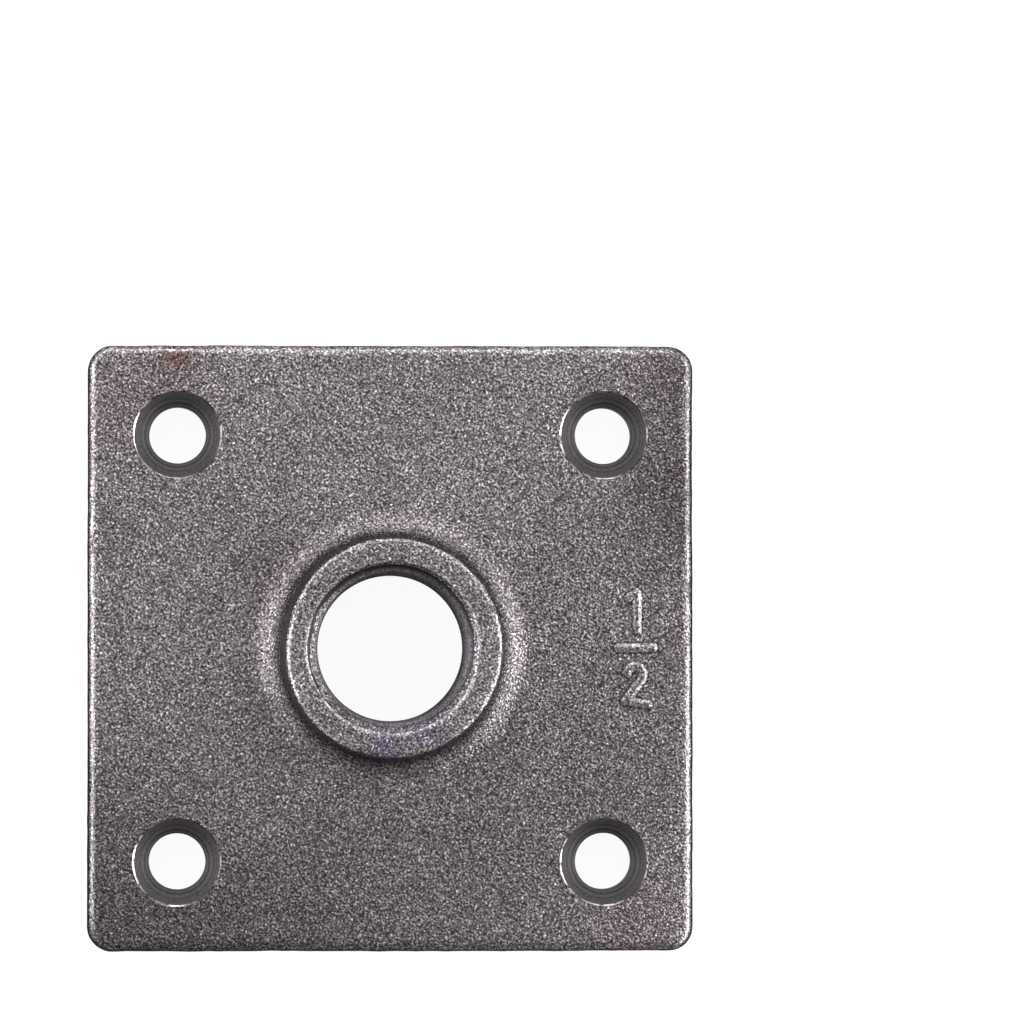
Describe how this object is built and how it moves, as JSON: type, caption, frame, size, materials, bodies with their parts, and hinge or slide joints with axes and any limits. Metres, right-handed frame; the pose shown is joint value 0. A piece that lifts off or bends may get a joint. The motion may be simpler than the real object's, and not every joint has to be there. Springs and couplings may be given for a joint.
{
  "type": "threaded floor flange",
  "caption": "Square cast iron floor flange: a flat plate with countersunk corner holes and a short filleted hub, bored and tapped for pipe.",
  "frame": {"origin": "centre of the flat back face, on the axis of the bore", "axes": "+Z along the bore, away from the floor or wall that the plate is screwed to; X and Y square to the plate's sides, with +Y towards the top of the picture"},
  "size_m": [0.0952, 0.0952, 0.019],
  "materials": {
    "cast_iron": "raw as cast, dark grey with a fine sparkling grain and light rust, machined bore and countersinks"
  },
  "bodies": {
    "root": {"floor_flange": "cast_iron"}
  },
  "joints": []
}
